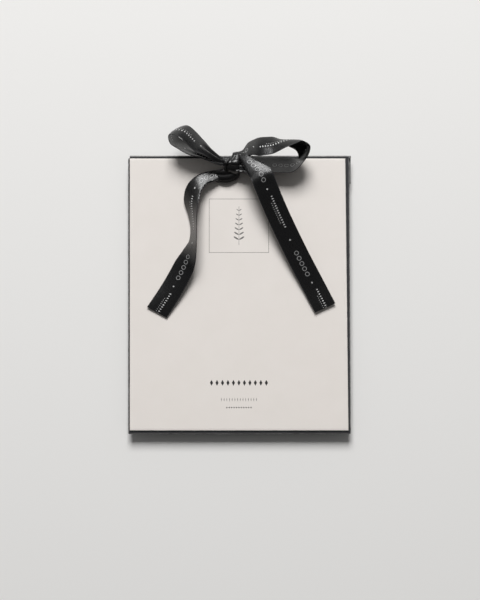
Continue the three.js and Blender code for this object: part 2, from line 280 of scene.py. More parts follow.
# %% Sky
SKY_OVERHEAD = 0.22
SKY_ROUND = 0.26
SKY_BEHIND = 1.05
SKY_BEFORE = 0.25
SKY_SEEN = (0.86, 0.86, 0.85, 1)
world = bpy.data.worlds.new("studio")
bpy.context.scene.world = world
studio = Finish(world, "ShaderNodeOutputWorld")
compass = studio.split(studio.node("ShaderNodeTexCoord")["Generated"])
strength = studio.between(compass["Z"], 0.35, 0.95, SKY_ROUND, SKY_OVERHEAD)
strength = strength * studio.between(compass["Y"], -0.7, 0.7, SKY_BEFORE, SKY_BEHIND)
lighting = studio.node("ShaderNodeBackground", {}, {"Color": (1, 1, 1, 1), "Strength": strength})
seen = studio.node("ShaderNodeBackground", {}, {"Color": SKY_SEEN, "Strength": 1})
camera_ray = studio.node("ShaderNodeLightPath")["Is Camera Ray"]
studio.close(studio.node("ShaderNodeMixShader", {}, {0: camera_ray, 1: lighting, 2: seen}))
print("sky nodes:", len(world.node_tree.nodes))

# %% [markdown]
# ## Black paper
# The bag is uncoated black kraft paper: dark grey under a lamp, matt, with short pale fibres
# and soft mottling. A scan of paper would need a file, so noise stretched in two directions
# gives the fibres, and a bump from the same noise breaks up the highlight along the folds.
# A painted highlight makes the upper outer fold pale, where lamp light catches it, and distances to the
# bag's sides draw it as a thin line.

# %% Black paper finish
FIBRE_STRETCH = 0.16
FOLD_HIGHLIGHT_FROM = 0.18 * MM
FOLD_HIGHLIGHT_TO = 0.52 * MM
FOLD_HIGHLIGHT_ABOVE = 4.4 * MM


def black_paper():
    finish = new_finish("black_paper")
    place = finish.node("ShaderNodeTexCoord")["Object"]
    along = finish.node("ShaderNodeMapping", {}, {"Vector": place, "Scale": (1, FIBRE_STRETCH, 1)})
    over = finish.node("ShaderNodeMapping", {}, {"Vector": place, "Scale": (FIBRE_STRETCH, 1, 1)})
    fibres = finish.specks(along, 3200, 2).most(finish.specks(over, 2700, 2))
    fibre_mask = finish.between(fibres, 0.62, 0.78, 0.0, 1.0)
    mottle = finish.specks(place, 260, 4, 0.6)
    tone = finish.between(mottle, 0.3, 0.7, 0.0, 1.0)
    colour = finish.mix(tone, srgb(38, 38, 40), srgb(47, 47, 49))
    colour = finish.mix(fibre_mask * 0.35, colour, srgb(92, 92, 94))
    spot = finish.split(place)
    x, y, z = spot["X"], spot["Y"], spot["Z"]
    # Painted highlight: a pale line along the upper outer folds, broken up by noise, where light catches
    # the paper's bend.
    lean = (y - bag_low.y) * (BAG_LEAN / (bag_high.y - bag_low.y))
    inside = (x - bag_low.x).least(bag_high.x - lean - x).least(y - bag_low.y)
    inside = inside.least(flap_high.y - y - 0.12 * MM).most(0.0)
    fold_highlight = finish.between(inside, FOLD_HIGHLIGHT_FROM, FOLD_HIGHLIGHT_TO, 1.0, 0.0) * (z > FOLD_HIGHLIGHT_ABOVE)
    fold_highlight = fold_highlight * finish.between(finish.specks(place, 420, 4, 0.7), 0.34, 0.62, 0.25, 1.0)
    colour = finish.mix(fold_highlight * 0.85, colour, srgb(158, 157, 155))
    rough = finish.between(mottle, 0.3, 0.7, 0.62, 0.74)
    grain = finish.bump(fibres * 0.6 + mottle, 0.00008, 0.55)
    return finish.close(finish.surface(colour, rough, grain, 0.4))


black_paper_look = black_paper()
print("black paper:", len(black_paper_look.node_tree.nodes), "nodes")

# %% [markdown]
# ## Pale card with its print
# The card is smooth, warm off-white board. Its print could be thin meshes laid on top, but ink
# has no thickness that shows. So it is drawn from distances in the card's own plane: a thin
# frame that holds a plain sprig, a row of dark lozenges and two finer rows. Each mark is a
# distance to a simple shape, which stays crisp at any zoom.

# %% Card print
FRAME_CENTRE = (-0.3 * MM, 37.2 * MM)
FRAME_HALF = (16.0 * MM, 14.4 * MM)
LINE_HALF = 0.11 * MM
SPRIG_HALF_HEIGHT = 10.4 * MM
LEAF_STEP = 2.6 * MM
# Rows of lozenges: place below the middle, step, count, width, height (mm) and ink.
PRINT_ROWS = [
    (47.3, 2.95, 11, 1.7, 3.2, (52, 51, 51)),
    (56.3, 1.45, 14, 0.5, 2.2, (150, 147, 144)),
    (60.6, 1.3, 11, 0.95, 0.95, (96, 94, 92)),
]


def box_distance(x, y, half_width, half_height):
    """Distance outside a rectangle about the origin, negative inside."""
    return (abs(x) - half_width).most(abs(y) - half_height)


def row_of_lozenges(x, y, step, count, width, height):
    """Lozenges side by side, centred on the origin."""
    shift = 0.0 if count % 2 else step / 2
    cell = (x + shift + step / 2).repeat(step) - step / 2
    inside = (abs(cell) / (width / 2) + abs(y) / (height / 2)) < 1
    return inside * (abs(x) < step * count / 2)


def sprig(finish, x, y):
    """A straight stem with pairs of slanted leaves that get shorter towards the tip."""
    stem = (abs(x) < 0.09 * MM) * (abs(y) < SPRIG_HALF_HEIGHT)
    side = abs(x)
    row = y + SPRIG_HALF_HEIGHT - 2.2 * MM
    cell = row.repeat(LEAF_STEP) - LEAF_STEP / 2
    size = finish.between(row, 0.0, 2 * SPRIG_HALF_HEIGHT - 3 * MM, 1.0, 0.4)
    out = side / size - 1.65 * MM
    up = (cell + 0.55 * MM - side * 0.55) / size
    leaf = ((out / (1.45 * MM)) ** 2 + (up / (0.52 * MM)) ** 2) < 1
    leaf = leaf * (row > 0) * (row < 2 * SPRIG_HALF_HEIGHT - 3.2 * MM)
    return stem.most(leaf)


def pale_card():
    finish = new_finish("pale_card")
    place = finish.node("ShaderNodeTexCoord")["Object"]
    spot = finish.split(place)
    x, y = spot["X"], spot["Y"]
    cx, cy = FRAME_CENTRE
    border = abs(box_distance(x - cx, y - cy, *FRAME_HALF)) < LINE_HALF
    plant = sprig(finish, x - cx, y - cy)
    marks = [(border, (120, 117, 114)), (plant, (112, 110, 108))]
    for drop, step, count, width, height, ink in PRINT_ROWS:
        row = row_of_lozenges(x - cx, y + drop * MM, step * MM, count, width * MM, height * MM)
        marks.append((row, ink))
    front = spot["Z"] > CARD_FACE - 0.15 * MM
    mottle = finish.specks(place, 90, 3)
    board = finish.mix(mottle, srgb(232, 226, 221), srgb(227, 221, 215))
    fleck = finish.between(finish.specks(place, 1700, 2), 0.66, 0.8, 0.0, 0.16)
    board = finish.mix(fleck, board, srgb(190, 184, 176))
    printed = border
    for mark, ink in marks:
        board = finish.mix(front * mark, board, srgb(*ink))
        printed = printed.most(mark)
    rough = finish.between(printed, 0.0, 1.0, 0.62, 0.48)
    grain = finish.bump(finish.specks(place, 2400, 3), 0.00003, 0.35)
    return finish.close(finish.surface(board, rough, grain, 0.35))


pale_card_look = pale_card()
print("pale card:", len(pale_card_look.node_tree.nodes), "nodes")

# %% [markdown]
# ## Black satin
# Satin ribbon has long warp threads that lie side by side and shine, and a corded selvedge at
# each edge. Object coordinates would let the weave slide where the ribbon turns, so the ribbon
# has its own UV map, measured across and along it in ribbon widths. Weave, selvedge and print
# follow every turn. The print is pale: two rows of small marks, then a row of rings between
# two single marks, over and over.

# %% Satin finish
PRINT_PERIOD = 4.65
# Rows of lozenges in ribbon widths: place across, start, count, step, length, height; and ink.
SATIN_MARKS = [
    (0.56, 0.0, 14, 0.115, 0.055, 0.105, 0.85),
    (0.44, 0.30, 11, 0.095, 0.04, 0.06, 0.5),
    (0.5, 2.12, 1, 0.11, 0.09, 0.09, 0.7),
    (0.5, 4.28, 1, 0.11, 0.09, 0.09, 0.7),
]
# The row of rings: place across, start, count, step, radius and line; and its ink.
SATIN_RINGS = (0.5, 2.70, 5, 0.265, 0.088, 0.022)
RING_INK = 0.5
SELVEDGE = 0.483


def mark_row(u, v, middle, start, count, step, width, height):
    """Lozenges in a row along the ribbon, in ribbon widths, from start on."""
    local = v - start
    cell = local.repeat(step) - step / 2
    inside = (abs(cell) / (width / 2) + abs(u - middle) / (height / 2)) < 1
    return inside * (local > 0) * (local < step * count)


def ring_row(u, v, middle, start, count, step, radius, line):
    """Small rings in a row along the ribbon."""
    local = v - start
    cell = local.repeat(step) - step / 2
    far = ((cell ** 2) + ((u - middle) ** 2)) ** 0.5
    return (abs(far - radius) < line / 2) * (local > 0) * (local < step * count)


def black_satin(name, printed):
    finish = new_finish(name)
    uv = finish.node("ShaderNodeUVMap", {"uv_map": "ribbon"})
    spot = finish.split(uv)
    u, v = spot["X"], spot["Y"]
    turn = v.repeat(PRINT_PERIOD)
    ink = ring_row(u, turn, *SATIN_RINGS) * RING_INK
    for *row, strength in SATIN_MARKS:
        ink = ink.most(mark_row(u, turn, *row) * strength)
    ink = ink * (1.0 if printed else 0.0)
    warp = finish.node("ShaderNodeMapping", {}, {"Vector": uv, "Scale": (1, 0.05, 1)})
    threads = finish.specks(warp, 120, 3)
    weft = (v.wave(0.016) * 0.5 + 0.5) * (0.4 + finish.specks(uv, 60, 1) * 1.2)
    edge = abs(u - 0.5)
    cord = finish.between(edge, 0.462, 0.472, 0.0, 1.0)
    tone = finish.mix(threads, srgb(7, 7, 8), srgb(13, 13, 14))
    tone = finish.mix(cord * 0.5, tone, srgb(26, 26, 29))
    colour = finish.mix(ink, tone, srgb(206, 206, 206))
    rough = finish.between(threads, 0.3, 0.7, 0.25, 0.33) + cord * 0.12 + ink * 0.15
    relief = threads * 0.6 + weft * 0.5 + (1 - abs(edge - SELVEDGE) / 0.017).most(0.0) * 2.2 + ink * 0.4
    grain = finish.bump(relief, 0.00004, 0.5)
    return finish.close(finish.surface(colour, rough, grain))


printed_satin = black_satin("black_satin", True)
plain_satin = black_satin("black_satin_plain", False)
print("black satin:", len(printed_satin.node_tree.nodes), "nodes")

# %% [markdown]
# ## Tissue paper and granules
# The pouch inside is thin white tissue, creased and a little see-through to the eye, which a
# pale colour with faint creases gives; the crease lines are darkened with painted shade. Real
# see-through paper would be slow and isn't needed inside a bag. The granules are mineral beads
# that hold the scent, from cream to tan. Each has its own tone, so the colour comes from cells
# about their size.

# %% Tissue and granule finishes
def tissue_paper():
    finish = new_finish("pouch_paper")
    place = finish.node("ShaderNodeTexCoord")["Object"]
    creases = abs(finish.specks(place, 120, 4, 0.6) - 0.5) * 2
    fibres = finish.specks(place, 1500, 3)
    colour = finish.mix(fibres, srgb(240, 238, 233), srgb(228, 225, 218))
    # Painted shade: the crease lines are darkened towards a greyer tone.
    colour = finish.mix(finish.between(creases, 0.0, 0.09, 0.35, 0.0), colour, srgb(206, 202, 194))
    grain = finish.bump(creases * 0.8 + fibres * 0.2, 0.00012, 0.6)
    return finish.close(finish.surface(colour, 0.78, grain))


def bead_granules():
    finish = new_finish("granules")
    place = finish.node("ShaderNodeTexCoord")["Object"]
    cells = finish.node("ShaderNodeTexVoronoi", {}, {"Vector": place, "Scale": 330.0})
    tone = finish.node("ShaderNodeSeparateColor", {}, {"Color": cells["Color"]})
    pores = finish.specks(place, 1900, 3)
    colour = finish.mix(tone, srgb(206, 186, 150), srgb(150, 118, 78))
    colour = finish.mix(finish.between(pores, 0.55, 0.75, 0.0, 0.5), colour, srgb(232, 221, 199))
    grain = finish.bump(pores, 0.00015, 0.8)
    return finish.close(finish.surface(colour, 0.86, grain))


tissue_look = tissue_paper()
granule_look = bead_granules()
print("tissue:", len(tissue_look.node_tree.nodes), "nodes, granules:", len(granule_look.node_tree.nodes))

# %% [markdown]
# ## From bmesh to a finished piece
# Each piece is shaped in a bmesh and then handed over once: normals out, smooth shading with
# sharp rims, its finish and the body it moves with, while the CAD parts that it replaces are hidden.

# %% Finished piece
def finished_piece(name, bm, look, nodes, body="packet", sharp=40):
    """Makes the object of a bmesh, in place, attaches it to its body and hides the CAD parts that it
    replaces.
    """
    bmesh.ops.recalc_face_normals(bm, faces=bm.faces)
    mesh = bpy.data.meshes.new(name)
    bm.to_mesh(mesh)
    bm.free()
    mesh.materials.append(look)
    mesh.shade_smooth()
    mesh.set_sharp_from_angle(angle=math.radians(sharp))
    piece = bpy.data.objects.new(name, mesh)
    bpy.context.scene.collection.objects.link(piece)
    if body:
        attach(piece, body)
    if nodes:
        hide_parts(*nodes)
    print(name, len(mesh.vertices), "points,", len(mesh.polygons), "faces")
    return piece


print("pieces land in:", bpy.context.scene.collection.name)

# %% [markdown]
# ## Creases and the punched hole
# Paper and tissue aren't quite flat. Sculpting would give creases by hand, but noise at a place
# gives the same ones each run. The ribbon's hole goes through bag, fold and card. Cutting it
# with a solid would leave long thin faces, so here the faces inside the circle go, and the rim
# that is left moves onto the circle.

# %% Creases and the punched hole
HOLE_MARGIN = 0.45 * MM
CREASE_SHARPNESS = 3.2


def punched(bm, layer_test=None):
    """Cuts the ribbon's hole: faces inside it go, and the rim that is left moves onto the circle."""
    doomed = [
        face
        for face in bm.faces
        if (face.calc_center_median() - HOLE).xy.length < HOLE_RADIUS - HOLE_MARGIN
        and (layer_test is None or layer_test(face))
    ]
    rim = set()
    for face in doomed:
        for edge in face.edges:
            if any(other not in doomed for other in edge.link_faces):
                rim.update(edge.verts)
    bmesh.ops.delete(bm, geom=doomed, context="FACES")
    for vert in rim:
        spoke = (vert.co - HOLE).xy.normalized() * HOLE_RADIUS
        vert.co.x = HOLE.x + spoke.x
        vert.co.y = HOLE.y + spoke.y
    return len(rim)


def ruffle(point, scale, amount, seed):
    """Soft noise from -amount to amount at a place, the same each run."""
    return amount * noise.noise(Vector(point) * scale + Vector((seed, -seed, seed * 0.5)))


def crease(point, scale, amount, seed):
    """Sharp folds: noise folded about zero, from 0 to amount."""
    from_fold = abs(noise.noise(Vector(point) * scale + Vector((seed, seed, -seed))))
    return amount * (1 - min(1.0, from_fold * CREASE_SHARPNESS))


print("a crease at the hole:", round(crease(HOLE, 62, 1.0, 3.1), 3), "of its full depth")

# %% [markdown]
# ## Bag
# The bag is a flat paper tube with a seam all round. Its front wall is flat behind the card and
# its back wall bulges with the pouch. A blown-up cloth bag would wrinkle too evenly, so two
# grids are shaped as the two walls. Their borders are bridged, and the border edges are bevelled
# into the soft fold that paper makes.

# %% Bag walls
RIM_DEPTH = 1.35 * MM
SEAM = 6 * MM
BULGE_RUN = 17 * MM
BULGE_TOP = 58 * MM
PAPER = 0.3 * MM
BULGE_CORNER = 12 * MM
WALL_GRID = (96, 118)
CORNER_ROUND = 0.7 * MM
FOLD_ROUND = 0.42 * MM
NEAR = 0.1 * MM


def wall_grid(bm, low, high, lean, columns, rows, level):
    """A grid over the outline whose right side leans in towards the top."""
    made = bmesh.ops.create_grid(bm, x_segments=columns, y_segments=rows, size=0.5)
    for vert in made["verts"]:
        up = vert.co.y + 0.5
        right = high.x - lean * up
        vert.co = (low.x + (right - low.x) * (vert.co.x + 0.5), low.y + (high.y - low.y) * up, level)
    return made["verts"]


def bulge_share(x, y):
    """How far a place lies inside the seam, 0 at the seam and 1 where the back is flat."""
    half_x = (bag_high.x - bag_low.x) / 2 - SEAM - BAG_LEAN / 2
    bottom = bag_low.y + SEAM
    half_y = (BULGE_TOP - bottom) / 2
    px = abs(x + BAG_LEAN / 4) - half_x + BULGE_CORNER
    py = abs(y - (BULGE_TOP + bottom) / 2) - half_y + BULGE_CORNER
    outside = math.hypot(max(px, 0), max(py, 0)) + min(max(px, py), 0) - BULGE_CORNER
    return min(1.0, max(0.0, -outside / BULGE_RUN))


def back_level(x, y):
    """Height of the bag's back wall: a pillow with paper creases that fan out from the seam."""
    share = bulge_share(x, y)
    level = (bag_high.z - RIM_DEPTH) * (1 - share) ** 2
    rise = 4 * share * (1 - share)
    level -= rise * crease((x, y, 0), 62, 0.42 * MM, 3.1)
    level += rise * ruffle((x, y, 0), 150, 0.16 * MM, 7.7)
    level += share * crease((x * 0.8, y, 0), 34, 0.14 * MM, 9.2)
    return max(level, 0.0)


def at_bag_corner(edge):
    """True for an upright edge at one of the bag's four corners."""
    upright = abs(edge.verts[0].co.z - edge.verts[1].co.z) > RIM_DEPTH / 2
    x, y = edge.verts[0].co.xy
    at_end = min(abs(y - bag_low.y), abs(y - bag_high.y)) < NEAR
    return upright and at_end and (x < bag_low.x + NEAR or x > bag_high.x - BAG_LEAN - NEAR)


bm = bmesh.new()
front = wall_grid(bm, bag_low, bag_high, BAG_LEAN, *WALL_GRID, bag_high.z)
back = wall_grid(bm, bag_low, bag_high, BAG_LEAN, *WALL_GRID, 0)
for vert in front:
    vert.co.z += ruffle(vert.co, 45, 0.03 * MM, 1.3)
for vert in back:
    vert.co.z = back_level(vert.co.x, vert.co.y)
rims = [edge for edge in bm.edges if edge.is_boundary]
bmesh.ops.bridge_loops(bm, edges=rims)
bmesh.ops.recalc_face_normals(bm, faces=bm.faces)
corners = [edge for edge in bm.edges if at_bag_corner(edge)]
bmesh.ops.bevel(bm, geom=corners, offset=CORNER_ROUND, segments=3, profile=0.5, affect="EDGES", material=-1)
folds = [edge for edge in bm.edges if edge.is_manifold and edge.calc_face_angle() > math.radians(60)]
bmesh.ops.bevel(bm, geom=folds, offset=FOLD_ROUND, segments=3, profile=0.5, affect="EDGES", material=-1)
print("hole rim points:", punched(bm))
bag = finished_piece("bag_paper", bm, black_paper_look, ["bag_body"])
wall = bag.modifiers.new("paper", "SOLIDIFY")
wall.thickness = PAPER
wall.offset = -1

# %% [markdown]
# ## Folded end
# The bag's open end is folded over to the back, and the hole is punched through it too. The
# fold could be a bend of the finished bag, but that would stretch the paper. Here it is a sheet
# carried round a small radius, in two plies, because both walls of the bag fold together. The
# end lies a little out of true, which shows at the top right corner.

# %% Folded end
FOLD_RADIUS = 1.0 * MM
FLAP_GRID = (90, 44)
FOLD_LEAD = 0.25 * MM
# The two plies: the radius each turns round, and how much short of the end it stops.
PLIES = ((FOLD_RADIUS, 0.0), (FOLD_RADIUS - 0.19 * MM, 0.6 * MM))
PLY_THICKNESS = 0.15 * MM


def fold_place(step, radius, reach):
    """Place (y, z) on the folded sheet, step 0 at the front and 1 at the end behind."""
    start = flap_high.y - FOLD_RADIUS
    middle = bag_high.z - FOLD_RADIUS
    turn = math.pi * radius
    run = start - flap_low.y - reach
    travel = step * (FOLD_LEAD + turn + run)
    if travel < FOLD_LEAD:
        return start - FOLD_LEAD + travel, middle + radius
    if travel < FOLD_LEAD + turn:
        angle = math.pi / 2 - (travel - FOLD_LEAD) / radius
        return start + radius * math.cos(angle), middle + radius * math.sin(angle)
    return start - (travel - FOLD_LEAD - turn), middle - radius


bm = bmesh.new()
for radius, reach in PLIES:
    made = bmesh.ops.create_grid(bm, x_segments=FLAP_GRID[0], y_segments=FLAP_GRID[1], size=0.5)
    for vert in made["verts"]:
        step = (vert.co.y + 0.5) ** 1.35
        y, z = fold_place(step, radius, reach)
        x = flap_low.x + (flap_high.x - flap_low.x) * (vert.co.x + 0.5)
        skew = ruffle((x, 0, radius), 60, 0.12 * MM, 4.4) * step
        lift = step * ruffle((x, y, 0), 70, 0.07 * MM, 2.2)
        vert.co = (x, y + skew, z + lift)
print("flap hole rim points:", punched(bm, lambda face: face.calc_center_median().y < 73 * MM))
flap = finished_piece("bag_folded_end", bm, black_paper_look, ["bag_flap"])
ply = flap.modifiers.new("ply", "SOLIDIFY")
ply.thickness = PLY_THICKNESS
ply.offset = 0

# %% [markdown]
# ## Card
# The card is one flat sheet glued to the front wall, 0.4 mm thick, with cut edges. A stretched
# cube would do for the board, but not for its hole. So a grid with the hole punched in it gets
# its thickness from Solidify, and a very small bevel on the cut edge catches the light.

# %% Card
CARD_LEAN = 1.7 * MM
CARD_GRID = (94, 117)
CUT_ROUND = 0.07 * MM
bm = bmesh.new()
verts = wall_grid(bm, card_low, card_high, CARD_LEAN, *CARD_GRID, card_high.z)
for vert in verts:
    vert.co.z += ruffle(vert.co, 18, 0.02 * MM, 5.5) - 0.01 * MM
print("card hole rim points:", punched(bm))
card = finished_piece("printed_card", bm, pale_card_look, ["front_card"])
board = card.modifiers.new("board", "SOLIDIFY")
board.thickness = card_high.z - card_low.z
board.offset = -1
cut_edge = card.modifiers.new("cut_edge", "BEVEL")
cut_edge.width = CUT_ROUND
cut_edge.segments = 2
cut_edge.limit_method = "ANGLE"
cut_edge.angle_limit = math.radians(60)

# %% [markdown]
# ## Pouch
# Inside lies a pouch of two tissue sheets sealed along a flat rim. A cloth simulation would
# settle them, but nothing of it shows in a closed bag. So the sheets are grids with noise
# creases: the front one lies flat, and the back one bulges and puckers near the seal.

# %% Pouch sheets
POUCH_SEAL = 5 * MM
POUCH_RUN = 12 * MM
POUCH_GRID = (66, 80)
TISSUE = 0.1 * MM


def pouch_share(x, y):
    """How far a place lies inside the pouch's seal, 0 at the seal and 1 where it is full."""
    edge = min(x - sheet_low.x, sheet_high.x - x, y - sheet_low.y, sheet_high.y - y) - POUCH_SEAL
    return min(1.0, max(0.0, edge / POUCH_RUN))


bm = bmesh.new()
verts = wall_grid(bm, sheet_low, sheet_high, BAG_LEAN, *POUCH_GRID, sheet_high.z)
for vert in verts:
    dip = crease(vert.co, 70, 0.12 * MM, 2.7) * pouch_share(vert.co.x, vert.co.y)
    vert.co.z -= 0.05 * MM + dip
front_tissue = finished_piece("pouch_front_tissue", bm, tissue_look, ["pouch_front"])
bm = bmesh.new()
verts = wall_grid(bm, pouch_low, pouch_high, BAG_LEAN, *POUCH_GRID, pouch_high.z)
for vert in verts:
    share = pouch_share(vert.co.x, vert.co.y)
    fall = (pouch_high.z - pouch_low.z) * (1 - (1 - share) ** 2)
    pucker = 4 * share * (1 - share) * crease(vert.co, 95, 0.3 * MM, 6.1)
    vert.co.z = max(pouch_high.z - 0.25 * MM - fall * 0.93 - pucker, pouch_low.z + 0.05 * MM)
back_tissue = finished_piece("pouch_back_tissue", bm, tissue_look, ["pouch_back"])
for piece in (front_tissue, back_tissue):
    tissue = piece.modifiers.new("tissue", "SOLIDIFY")
    tissue.thickness = TISSUE

# %% [markdown]
# ## Granules
# The pouch holds loose scented granules. Dropping them with physics would give a true heap, and
# take minutes. Here they are small rounded lumps in layers on a jittered lattice. Each has few
# faces, because there are many of them.

# %% Granules
GRAIN_STEP = 2.75 * MM
GRAIN_RADIUS = 1.15 * MM
GRAIN_LAYERS = 2
ROW_CLOSENESS = 0.87


def scatter(column, row, layer, salt):
    """A repeatable number from -1 to 1 for one granule."""
    return noise.noise(Vector((column * 7.31 + salt, row * 5.17 - salt, layer * 3.9 + salt * 0.37)) * 1.7)


bm = bmesh.new()
row_mesh = bpy.data.meshes.new("granule_row")
grains = 0
for layer in range(GRAIN_LAYERS):
    rows = int((grain_high.y - grain_low.y) / (GRAIN_STEP * ROW_CLOSENESS))
    columns = int((grain_high.x - grain_low.x) / GRAIN_STEP)
    for row in range(rows):
        row_bm = bmesh.new()
        for column in range(columns):
            offset = (0.5 * ((row + layer) % 2) + 0.25 + column) * GRAIN_STEP
            x = grain_low.x + offset + scatter(column, row, layer, 1.1) * 0.5 * MM
            y = grain_low.y + (row + 0.5) * GRAIN_STEP * ROW_CLOSENESS
            y += scatter(column, row, layer, 2.3) * 0.4 * MM
            share = pouch_share(x, y)
            bottom = grain_low.z + (grain_high.z - grain_low.z) * (1 - share) ** 2 * 1.05
            z = bottom + GRAIN_RADIUS + layer * 1.75 * MM
            if x > grain_high.x - GRAIN_RADIUS or z > grain_high.z - GRAIN_RADIUS * 0.55:
                continue
            size = GRAIN_RADIUS * (0.94 + 0.22 * scatter(column, row, layer, 4.2))
            turn = Matrix.Rotation(3 * scatter(column, row, layer, 5.7), 4, (1, 0.6, 0.3))
            shape = Matrix.Diagonal((size, size * 0.86, size * 0.78, 1))
            place = Matrix.Translation((x, y, z))
            bmesh.ops.create_icosphere(row_bm, subdivisions=1, radius=1, matrix=place @ turn @ shape)
            grains += 1
        row_bm.to_mesh(row_mesh)
        row_bm.free()
        bm.from_mesh(row_mesh)
granules = finished_piece("scent_granules", bm, granule_look, ["scent_filling"], sharp=180)
print("granules:", grains)

# %% [markdown]
# ## The ribbon's route
# A ribbon bends and twists but hardly stretches, so a route describes it. A table of stations
# gives a place, the direction of the ribbon's width and how wide it lies there. A bevelled curve
# would be quicker, but its twist is hard to set at each place. So one smooth path runs through
# the places and another through the widths.

# %% Route and stations
ACROSS = 28


def smooth_path(points, steps):
    """Points on a smooth curve through the given ones, with so many steps for each span."""
    first = [2 * a - b for a, b in zip(points[0], points[1])]
    last = [2 * a - b for a, b in zip(points[-1], points[-2])]
    padded = [Vector(first)] + [Vector(p) for p in points] + [Vector(last)]
    path = []
    for i in range(len(points) - 1):
        p0, p1, p2, p3 = padded[i:i + 4]
        gaps = [max((b - a).length, 1e-7) ** 0.5 for a, b in ((p0, p1), (p1, p2), (p2, p3))]
        leave = ((p1 - p0) / gaps[0] - (p2 - p0) / (gaps[0] + gaps[1]) + (p2 - p1) / gaps[1]) * gaps[1]
        reach = ((p2 - p1) / gaps[1] - (p3 - p1) / (gaps[1] + gaps[2]) + (p3 - p2) / gaps[2]) * gaps[1]
        for k in range(steps):
            t = k / steps
            a = 2 * t ** 3 - 3 * t ** 2 + 1
            b = t ** 3 - 2 * t ** 2 + t
            c = 3 * t ** 2 - 2 * t ** 3
            d = t ** 3 - t ** 2
            path.append(a * p1 + b * leave + c * p2 + d * reach)
    path.append(padded[-2])
    return path


def distances(path):
    """How far along a path each of its points lies."""
    travelled = [0.0]
    for a, b in zip(path, path[1:]):
        travelled.append(travelled[-1] + (b - a).length)
    return travelled


def station(place, azimuth, tilt, share, bow=0.0):
    """A ribbon station: its place, the half width as a vector, and how far its middle stands out."""
    turn, lift = math.radians(azimuth), math.radians(tilt)
    across = Vector((math.cos(turn) * math.cos(lift), math.sin(turn) * math.cos(lift), math.sin(lift)))
    return Vector(place), across * (share * RIBBON_WIDTH / 2), bow * MM


def from_table(table, reach, climb, stand):
    """Stations from a table of shares of a stretch's reach, climb and stand, as the CAD has it.

    A seventh column is how far the ribbon's middle stands out from its edges, in millimetres.
    """
    middle = Vector((KNOT.x, KNOT.y, CARD_FACE))
    return [
        station(middle + Vector((reach * along, climb * up, stand * out)), *rest)
        for along, up, out, *rest in table
    ]


def from_places(places):
    """Stations from places in millimetres, each with azimuth, tilt and share of the width."""
    return [station((x * MM, y * MM, z * MM), *rest) for x, y, z, *rest in places]


print("half width of a full station:", round(station((0, 0, 0), 0, 0, 1)[1].length / MM, 1), "mm")

# %% [markdown]
# ## Where the spare width goes
# Gathered ribbon keeps all its cloth. The spare width lies in pleats, is turned under at both
# sides, or follows a drawn section, as in the knot. A cloth simulation would find folds of its
# own, but not the ones that this sachet has.

# %% Sections
SECTION_STEPS = 12
TURN_RADII = (0.46 * MM, 0.34 * MM)
TURN_FULL = 0.6 * MM
TURN_LEAST = 0.001 * MM


def folded_section(table):
    """Points across a folded ribbon, evenly spaced on the cloth, from a table in millimetres."""
    line = smooth_path([Vector((a, h, 0)) for a, h in table], SECTION_STEPS)
    travelled = distances(line)
    points = []
    k = 0
    for i in range(ACROSS + 1):
        wanted = travelled[-1] * i / ACROSS
        while k < len(line) - 2 and travelled[k + 1] < wanted:
            k += 1
        part = (wanted - travelled[k]) / max(travelled[k + 1] - travelled[k], 1e-9)
        points.append(line[k].lerp(line[k + 1], min(1.0, part)) * MM)
    return points


def turned_under(s, chord, cloth):
    """Place across and height of a cloth point where the ribbon's sides are turned under.

    The two turns have different radii, so that the layers under the face lie clear of each other.
    The height counts away from the face that is seen from above.
    """
    missing = max(RIBBON_WIDTH - cloth, TURN_LEAST) / 2
    radius = TURN_RADII[0 if s < 0 else 1] * min(1.0, missing / TURN_FULL)
    flat = chord / 2 - radius
    half = chord / 2 + missing
    beyond = abs(s) * half - flat
    if beyond <= 0:
        return s * half, 0.0
    angle = min(beyond / radius, math.pi)
    back = max(0.0, beyond - math.pi * radius)
    place = flat + radius * math.sin(angle) - back
    return math.copysign(place, s), radius * (math.cos(angle) - 1)


turned_edge = turned_under(1, RIBBON_WIDTH / 2, RIBBON_WIDTH / 2)[0]
print("edge of a half-gathered ribbon:", round(turned_edge / MM, 2), "mm out")

# %% [markdown]
# ## Cloth with its thickness
# A grid is laid on the route row by row, and its UV map counts along the cloth. Solidify throws
# spikes where folds are this sharp. So the sheet is extruded once, and its underside moves
# along each point's own normal by the ribbon's thickness.

# %% Ribbon maker
LOOK_AROUND = 4
BOW_LENGTH = 2.67


